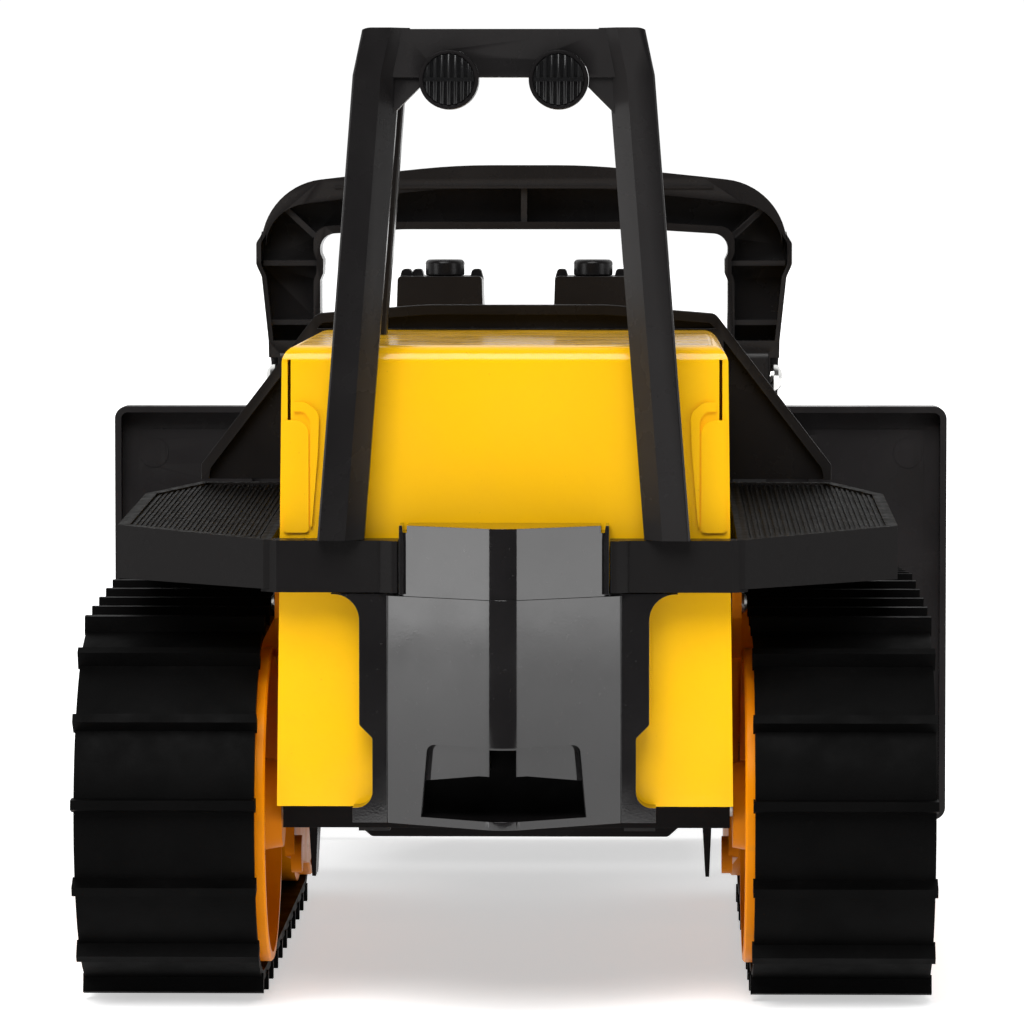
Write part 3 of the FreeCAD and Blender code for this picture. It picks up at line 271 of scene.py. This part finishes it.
def deck_painted_shade():
    """The same plastic where a deck is moulded with a fine grid of square studs, its colour darkened as
    painted shade of the studs, most of all in the gaps between them.
    """
    s = Shader("deck_black_stud_shade", 0.62, specular=0.03)
    across = s.wave("X", 385.0)
    along = s.wave("Y", 250.0)
    studs = s.multiply(across, along)
    # Painted shade: near black in the gaps between studs, and dark all over.
    s.colour(s.ramp(studs, [(0.15, (0.0016, 0.0014, 0.0012)), (0.65, (0.0080, 0.0066, 0.0055))]))
    s.roughness(s.spread(s.noise(300.0, 4.0), 0.5, 0.7))
    s.bump((studs, 0.6, 0.0005), (s.noise(1600.0, 2.0), 0.1, 0.0001))
    return s.material


def gloss_black():
    """Polished moulded black plastic that mirrors the room, with hairline rubs and dust."""
    s = Shader("gloss_black_plastic", 0.12, specular=0.7)
    tone = s.ramp(s.noise(40.0, 4.0), [(0.3, (0.0080, 0.0074, 0.0077)), (0.7, (0.0120, 0.0112, 0.0116))])
    dust = s.ramp(s.noise(1400.0, 3.0, 0.6), [(0.66, (0.0, 0.0, 0.0)), (0.78, (0.25, 0.25, 0.25))])
    s.colour(s.mix(dust, tone, (0.16, 0.15, 0.14)))
    s.roughness(s.spread(s.noise(70.0, 5.0), 0.05, 0.12))
    s.bump((s.noise(24.0, 2.0), 0.07, 0.0010), (s.noise(1800.0, 2.0), 0.04, 0.0001))
    return s.material


def track_rubber():
    """Soft black track band: matte, dusty in patches, finely pitted."""
    s = Shader("track_rubber", 0.45, specular=0.04)
    tone = s.ramp(s.noise(45.0, 5.0), [(0.3, (0.0009, 0.0009, 0.0009)), (0.7, (0.0020, 0.0019, 0.0019))])
    dust = s.ramp(s.noise(240.0, 6.0, 0.7), [(0.58, (0.0, 0.0, 0.0)), (0.82, (0.30, 0.30, 0.30))])
    s.colour(s.mix(dust, tone, (0.008, 0.0076, 0.0072)))
    s.roughness(s.spread(s.noise(120.0, 4.0), 0.46, 0.66))
    s.bump((s.noise(1500.0, 3.0), 0.25, 0.00018), (s.noise(160.0, 3.0), 0.12, 0.0005))
    return s.material


def lamp_black():
    """Dark glossy lens moulding."""
    s = Shader("lamp_black", 0.16, coat=0.1, specular=0.3)
    tone = s.ramp(s.noise(60.0, 3.0), [(0.3, (0.004, 0.004, 0.0042)), (0.7, (0.008, 0.008, 0.0083))])
    s.colour(tone)
    s.roughness(s.spread(s.noise(200.0, 3.0), 0.12, 0.22))
    s.bump((s.noise(900.0, 2.0), 0.06, 0.0001))
    return s.material


def plain_steel():
    """Zinc-plated steel with drawn lines along its length."""
    s = Shader("zinc_steel", 0.3, metallic=1.0)
    lines = s.noise(900.0, 3.0, vector=s.stretched((0.05, 1.0, 1.0)))
    s.colour(s.ramp(lines, [(0.3, (0.42, 0.41, 0.39)), (0.7, (0.60, 0.59, 0.57))]))
    s.roughness(s.spread(s.noise(150.0, 4.0), 0.24, 0.38))
    s.bump((lines, 0.06, 0.0001))
    return s.material


def polished_steel():
    """Bright domed screw heads and caps with light handling marks."""
    s = Shader("polished_steel", 0.14, metallic=1.0)
    s.colour(s.ramp(s.noise(300.0, 4.0), [(0.3, (0.66, 0.66, 0.65)), (0.7, (0.82, 0.82, 0.80))]))
    s.roughness(s.spread(s.noise(500.0, 4.0), 0.10, 0.22))
    s.bump((s.noise(1200.0, 2.0), 0.04, 0.0001))
    return s.material


def floor_paper():
    """Matt white studio paper: a little greyer towards the camera as painted shade, and lit from below
    towards its far end.
    """
    s = Shader("floor_paper", 0.9, specular=0.03)
    axes = s.tree.nodes.new("ShaderNodeSeparateXYZ")
    s.link(s.space, axes.inputs["Vector"])
    start, end = FLOOR_ZONES[0][0], FLOOR_ZONES[-1][0]
    along = s.spread(axes.outputs["Y"], 0.0, 1.0, start, end)
    white = [((y - start) / (end - start), (paper,) * 3) for y, paper, glow in FLOOR_ZONES]
    lit = [((y - start) / (end - start), (glow,) * 3) for y, paper, glow in FLOOR_ZONES]
    fibres = s.ramp(s.noise(6.0, 3.0), [(0.3, (0.0, 0.0, 0.0)), (0.7, (0.05, 0.05, 0.05))])
    # Painted shade: the paper ramp greys the floor behind the toy.
    s.colour(s.mix(fibres, s.ramp(along, white), (0.6, 0.6, 0.6)))
    s.link(s.ramp(along, lit), s.out.inputs["Emission Color"])
    s.out.inputs["Emission Strength"].default_value = 1.0
    s.bump((s.noise(500.0, 2.0), 0.05, 0.0002))
    return s.material


# One material for each slot of the record, and finer finishes for some black mouldings, two of them with
# painted shade.
MATERIALS = {
    "yellow_paint": yellow_paint(), "yellow_plastic": yellow_plastic(), "satin_black_plastic": satin_black(),
    "gloss_black_plastic": gloss_black(), "track_rubber": track_rubber(),
    "lamp_black": lamp_black(), "plain_steel": plain_steel(), "polished_steel": polished_steel(),
}
DULL = satin_black("dull_black_plastic", shine=0.03, edge_highlight=0.012)
BLADE = satin_black("blade_black_plastic", shine=0.06, edge_highlight=0.0175, paleness=1.8)
DECK = deck_painted_shade()
RECESS_SHADE = recess_shade_black()


# ---- pieces -----------------------------------------------------------------------------------------
def finish_mesh(piece, material):
    """One material, and smooth shading that breaks at real edges."""
    piece.data.materials.clear()
    piece.data.materials.append(material)
    for polygon in piece.data.polygons:
        polygon.use_smooth = True
    piece.data.set_sharp_from_angle(angle=SHARP_FROM)


def second_finish(piece, material, chosen):
    """Another finish on the faces that a test of centre and normal picks."""
    piece.data.materials.append(material)
    for polygon in piece.data.polygons:
        if chosen(polygon.center, polygon.normal):
            polygon.material_index = 1


def on_deck(middle, normal):
    """Inner field of a fender's top."""
    return normal.z > 0.9 and middle.z > DECK_LOW and abs(middle.x) > DECK_INNER


def in_recess(middle, normal):
    """Deep walls of the tow recess and its slot."""
    across = abs(middle.x) < RECESS_HALF_WIDTH
    return middle.y > RECESS_REAR and across and RECESS_LOW < middle.z < RECESS_HIGH


def finish_of(node):
    """Main material of a node."""
    if node.startswith(DULL_NODES):
        return DULL
    if node == "blade":
        return BLADE
    return MATERIALS[SLOT_OF[node]]


def refined(node, width):
    """A copy of the CAD node with its moulded or pressed edges rounded, which takes the node's place."""
    mesh = NODES[node].data.copy()
    shell = bmesh.new()
    shell.from_mesh(mesh)
    bmesh.ops.remove_doubles(shell, verts=shell.verts, dist=SAME_POINT)
    bmesh.ops.dissolve_limit(shell, angle_limit=FLAT_WITHIN, verts=shell.verts, edges=shell.edges)
    for edge in shell.edges:
        edge.smooth = True
    shell.to_mesh(mesh)
    shell.free()
    piece = bpy.data.objects.new(node + "_finished", mesh)
    bpy.context.scene.collection.objects.link(piece)
    bevel = piece.modifiers.new("round_edges", "BEVEL")
    bevel.width = width
    bevel.segments = 2
    bevel.limit_method = "ANGLE"
    bevel.angle_limit = ROUNDED_FROM
    bevel.use_clamp_overlap = True
    bevel.harden_normals = True
    weighted = piece.modifiers.new("flat_faces_first", "WEIGHTED_NORMAL")
    weighted.keep_sharp = True
    weighted.weight = 80
    finish_mesh(piece, finish_of(node))
    # Painted shade: the studded decks of the fenders get the darkened stud finish.
    if node in ("fender_left", "fender_right"):
        second_finish(piece, DECK, on_deck)
    # Painted shade: the deep walls of the tow recess get the darkened finish.
    if node == "counterweight":
        second_finish(piece, RECESS_SHADE, in_recess)
    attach(piece, BODY_OF[node])
    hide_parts(node)


def edge_radius(node):
    """Radius for a node, or None where the CAD shape already has its real edges."""
    for start, radius in EDGE_RADIUS:
        if node.startswith(start):
            return radius
    return None


def dress_nodes():
    """Every CAD node gets rounded edges or at least its real material."""
    for node, source in NODES.items():
        radius = edge_radius(node)
        if radius:
            refined(node, radius)
        else:
            source.data.materials.clear()
            source.data.materials.append(MATERIALS[SLOT_OF[node]])


# ---- stage and light --------------------------------------------------------------------------------
def add_floor():
    """Large plain floor under the toy."""
    size = FLOOR_HALF_SIZE
    corners = [(-size, -size, 0), (size, -size, 0), (size, size, 0), (-size, size, 0)]
    mesh = bpy.data.meshes.new("floor")
    mesh.from_pydata(corners, [], [(0, 1, 2, 3)])
    floor = bpy.data.objects.new("floor", mesh)
    bpy.context.scene.collection.objects.link(floor)
    floor.data.materials.append(floor_paper())


def black_cloth():
    """Matt black cloth with a faint weave."""
    s = Shader("black_cloth", 0.95, specular=0.0)
    weave = s.multiply(s.wave("X", 400.0), s.wave("Z", 400.0))
    s.colour(s.ramp(weave, [(0.2, (0.02, 0.02, 0.02)), (0.8, (0.045, 0.045, 0.045))]))
    s.bump((weave, 0.3, 0.0004))
    return s.material


def add_cloth():
    """Cloth behind the toy that shows only in glossy reflections."""
    x, z = CLOTH_HALF_WIDTH, CLOTH_HEIGHT
    mesh = bpy.data.meshes.new("cloth")
    mesh.from_pydata([(-x, 0, 0), (x, 0, 0), (x, 0, z), (-x, 0, z)], [], [(0, 1, 2, 3)])
    cloth = bpy.data.objects.new("cloth", mesh)
    cloth.location.y = CLOTH_AT
    bpy.context.scene.collection.objects.link(cloth)
    cloth.data.materials.append(black_cloth())
    cloth.visible_camera = False
    cloth.visible_diffuse = False
    cloth.visible_shadow = False


def add_area(name, place, aim, size, power):
    """Soft square light at a place, aimed at a point."""
    data = bpy.data.lights.new(name, "AREA")
    data.shape = "SQUARE"
    data.size = size
    data.energy = power
    lamp = bpy.data.objects.new(name, data)
    lamp.location = place
    lamp.rotation_euler = (Vector(aim) - Vector(place)).to_track_quat("-Z", "Y").to_euler()
    bpy.context.scene.collection.objects.link(lamp)


def add_surround():
    """Room that is white in front of the toy and falls off to grey behind the camera."""
    world = bpy.data.worlds.new("surround")
    bpy.context.scene.world = world
    world.use_nodes = True
    tree = world.node_tree
    direction = tree.nodes.new("ShaderNodeTexCoord")
    axes = tree.nodes.new("ShaderNodeSeparateXYZ")
    fall = tree.nodes.new("ShaderNodeMapRange")
    fall.interpolation_type = "SMOOTHSTEP"
    fall.inputs["From Min"].default_value = -0.15
    fall.inputs["From Max"].default_value = 0.45
    fall.inputs["To Min"].default_value = ROOM_BEHIND
    fall.inputs["To Max"].default_value = ROOM_AHEAD
    tree.links.new(direction.outputs["Generated"], axes.inputs["Vector"])
    tree.links.new(axes.outputs["Y"], fall.inputs["Value"])
    tree.links.new(fall.outputs["Result"], tree.nodes["Background"].inputs["Strength"])
    tree.nodes["Background"].inputs["Color"].default_value = (1.0, 1.0, 1.0, 1.0)


def add_light():
    """High key light behind the camera, and a small softbox at each side."""
    add_surround()
    add_area("key", (-0.4, -2.4, 2.6), (0.0, -0.1, 0.08), KEY_SIZE, KEY_POWER)
    add_area("side_left", (-SIDE_X, SIDE_Y, SIDE_Z), (0.0, -0.2, 0.1), SIDE_SIZE, LEFT_POWER)
    add_area("side_right", (SIDE_X, SIDE_Y, SIDE_Z), (0.0, -0.2, 0.1), SIDE_SIZE, RIGHT_POWER)
    bpy.context.scene.view_settings.view_transform = "Standard"


add_camera()
dress_nodes()
add_floor()
add_cloth()
add_light()
